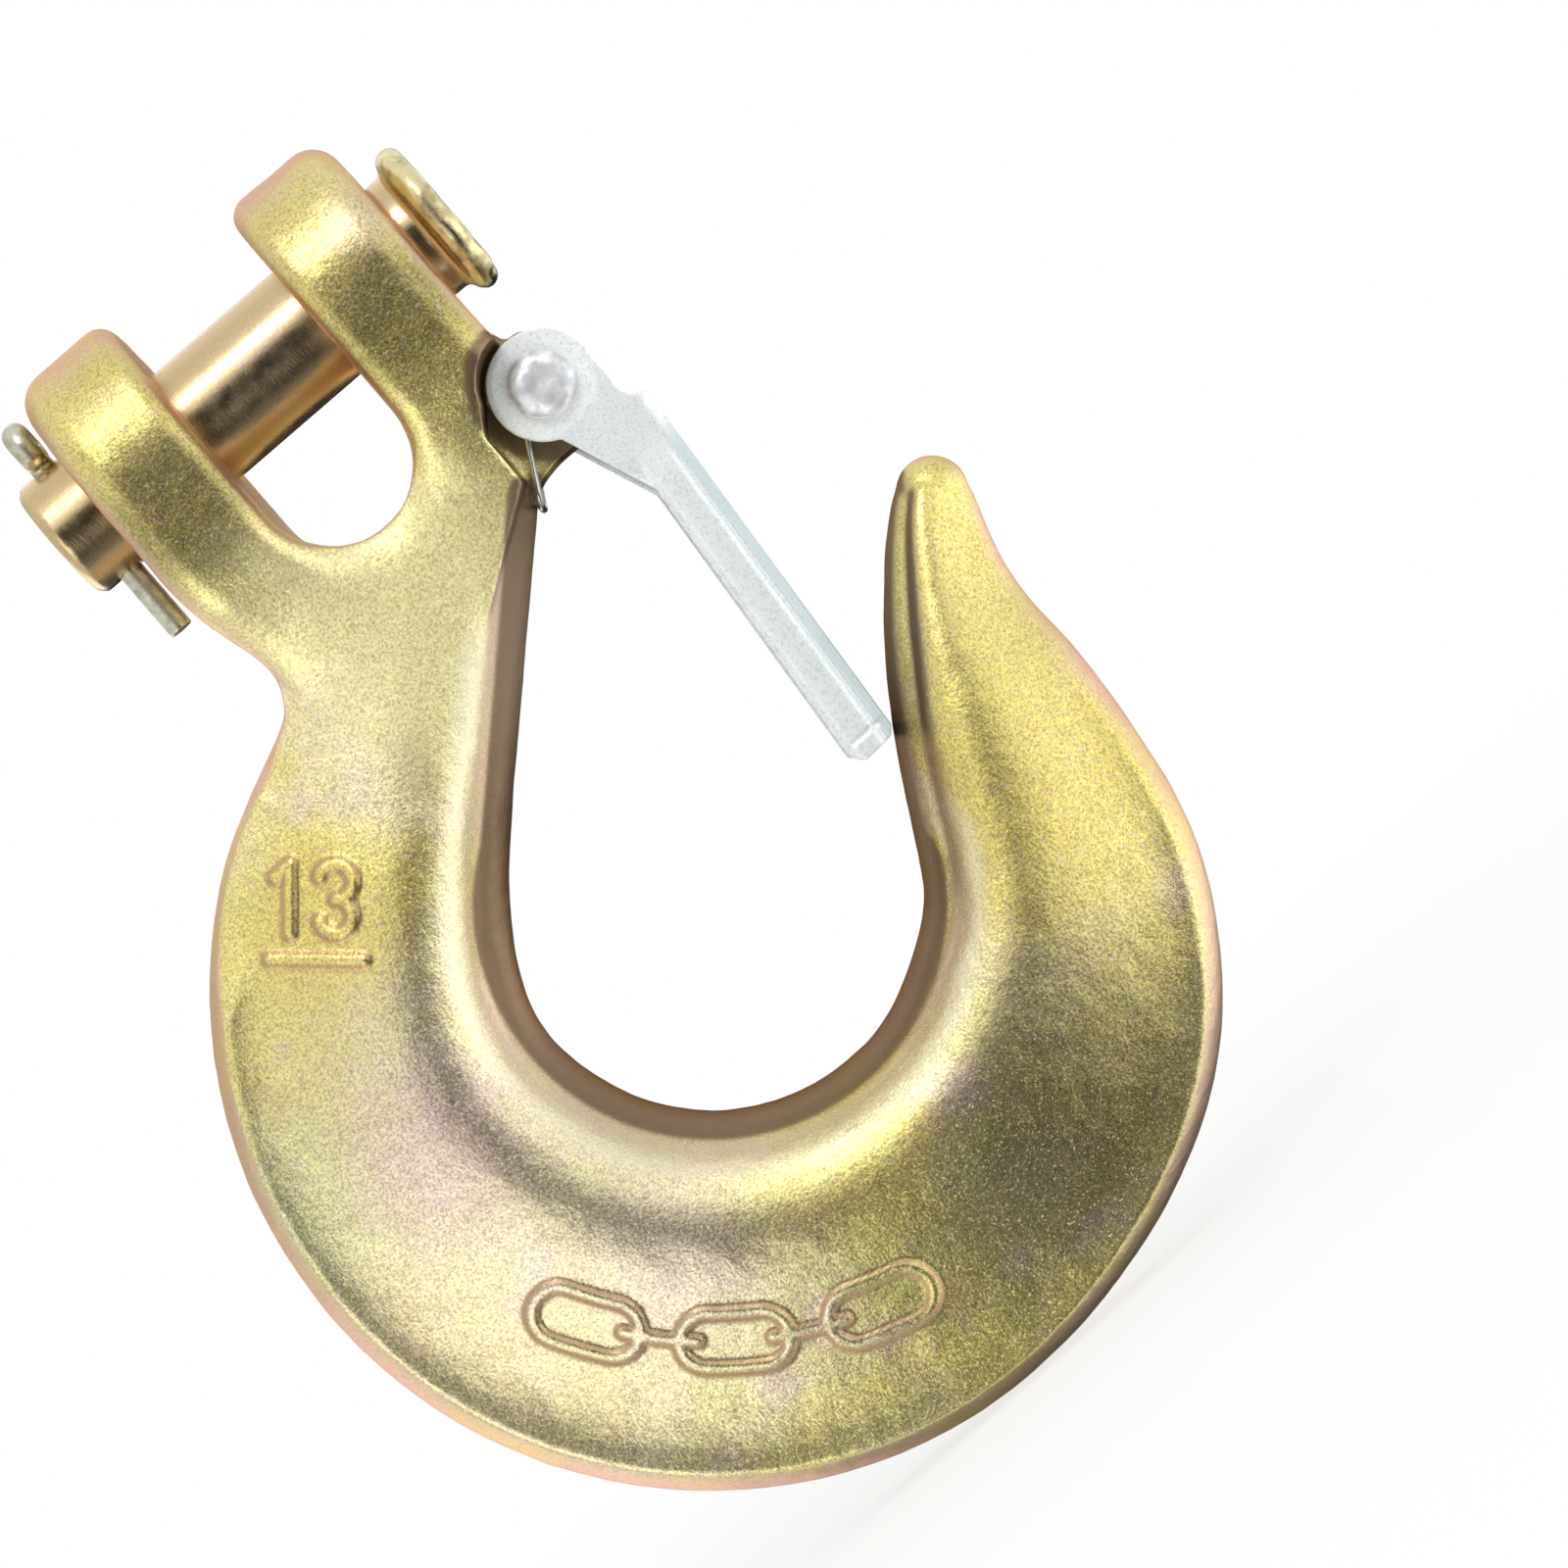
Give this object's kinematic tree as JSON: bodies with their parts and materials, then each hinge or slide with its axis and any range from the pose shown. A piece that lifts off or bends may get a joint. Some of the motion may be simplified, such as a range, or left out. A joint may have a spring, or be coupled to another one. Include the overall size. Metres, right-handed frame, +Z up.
{
  "type": "safety chain hook",
  "caption": "Clevis slip hook for chain: forged hook body with two ears, headed clevis pin, cotter pin and a sprung throat latch.",
  "frame": {"origin": "middle of the clevis pin's axis, between the two ears", "axes": "+Z up the line of the pull, away from the hook's bowl; +X along the clevis pin towards its head and the hook's tip; Y through the hook's thickness"},
  "size_m": [0.1222, 0.0334, 0.1663],
  "materials": {
    "forging": "forged steel, grainy, yellow chromate zinc plating",
    "pin": "turned steel, smooth, yellow chromate zinc plating",
    "cotter": "drawn steel wire, clear zinc plating",
    "latch_sheet": "pressed sheet steel, satin blue-white zinc plating",
    "rivet": "hammered steel rivet, bright zinc plating",
    "spring_wire": "bright spring steel wire"
  },
  "bodies": {
    "hook": {"hook_body": "forging", "latch_rivet": "rivet", "latch_spring": "spring_wire"},
    "latch": {"latch": "latch_sheet"},
    "clevis_pin": {"clevis_pin": "pin"},
    "cotter": {"cotter_pin": "cotter"}
  },
  "joints": [
    {"name": "latch_swing", "type": "hinge", "parent": "hook", "child": "latch", "pos_m": [0.0247, 0, -0.0238], "axis": [0, 1, 0], "range_deg": [0, 45], "stiffness_Nm_per_rad": 0.25, "springref_deg": -22.92, "deforming": ["latch_spring"]},
    {"name": "pin_spin", "type": "hinge", "parent": "hook", "child": "clevis_pin", "pos_m": [0, 0, 0], "axis": [1, 0, 0], "continuous": true},
    {"name": "cotter_pull", "type": "slide", "parent": "clevis_pin", "child": "cotter", "axis": [0, 0, 1], "range_m": [0, 0.0175]}
  ]
}
